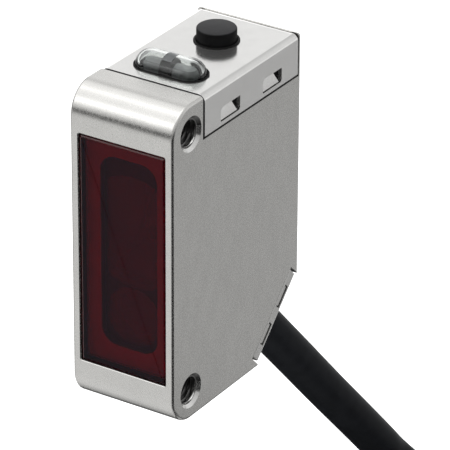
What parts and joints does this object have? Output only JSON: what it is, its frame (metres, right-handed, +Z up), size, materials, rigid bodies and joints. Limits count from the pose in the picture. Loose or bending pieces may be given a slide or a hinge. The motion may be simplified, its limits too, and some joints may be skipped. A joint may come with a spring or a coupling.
{
  "type": "photoelectric sensor",
  "caption": "Miniature block-type photoelectric sensor in a stainless-steel housing with a dark red front filter, indicator dome, teach button and a pre-wired cable leaving a 45 degree corner.",
  "frame": {"origin": "midway between the two side mounting holes, on the centre plane of the housing", "axes": "+X across the width towards the right side as seen from behind the front window's viewer, +Y from the front window to the rear wall, +Z up towards the indicator and button"},
  "size_m": [0.066, 0.0881, 0.0881],
  "materials": {
    "case_steel": "satin blasted stainless steel",
    "cover_steel": "satin stainless sheet",
    "red_filter": "dark red see-through filter",
    "seal_film": "light grey adhesive film",
    "lens_plastic": "clear moulded lens",
    "black_plastic": "fine matt",
    "led_body": "moulded epoxy",
    "dark_epoxy": "moulded epoxy",
    "tin_plate": "tinned metal",
    "board_green": "solder mask",
    "gold_pins": "plated",
    "flex_amber": "polyimide film",
    "chip_ceramic": "fired ceramic",
    "led_orange": "tinted epoxy",
    "led_green": "tinted epoxy",
    "clear_plastic": "clear moulding",
    "smoke_plastic": "clear smoky moulding",
    "black_rubber": "matt moulded rubber",
    "white_plastic": "natural moulding",
    "cable_jacket": "matt PVC jacket",
    "core_brown": "core insulation",
    "core_blue": "core insulation",
    "core_black": "core insulation"
  },
  "bodies": {
    "housing": {"front_case": "case_steel", "top_cover": "cover_steel", "cable_cover": "cover_steel", "front_window": "red_filter", "window_seal": "seal_film", "lens_holder": "black_plastic", "receiver_lens": "lens_plastic", "emitter_lens": "lens_plastic", "emitter_led": "led_body", "photodiode": "dark_epoxy", "shield_can": "tin_plate", "optics_board": "board_green", "main_board": "board_green", "indicator_board": "board_green", "board_header": "gold_pins", "flex_link": "flex_amber", "control_ic": "dark_epoxy", "output_stage": "dark_epoxy", "passives": "chip_ceramic", "operation_led": "led_orange", "stability_led": "led_green", "light_guides": "clear_plastic", "light_divider": "black_plastic", "indicator_lens": "smoke_plastic", "indicator_gasket": "black_rubber", "cover_gasket": "black_rubber", "button_collar": "black_rubber", "button_membrane": "black_rubber", "switch_body": "black_plastic", "snap_dome": "tin_plate", "cable_bush": "black_rubber", "crimp_ring": "tin_plate", "cable_stub": "cable_jacket", "core_brown": "core_brown", "core_blue": "core_blue", "core_black": "core_black", "cable": "cable_jacket", "cable_coil": "cable_jacket", "cable_tail": "cable_jacket", "coil_tie": "black_plastic", "lead_brown": "core_brown", "lead_blue": "core_blue", "lead_black": "core_black", "lead_tips": "tin_plate"},
    "button": {"button_cap": "black_plastic", "button_plunger": "white_plastic", "switch_stem": "white_plastic"}
  },
  "joints": [
    {"name": "button_press", "type": "slide", "parent": "housing", "child": "button", "axis": [0, 0, -1], "range_m": [0, 0.0005], "stiffness_N_per_m": 2000, "deforming": ["snap_dome", "button_membrane"]}
  ]
}
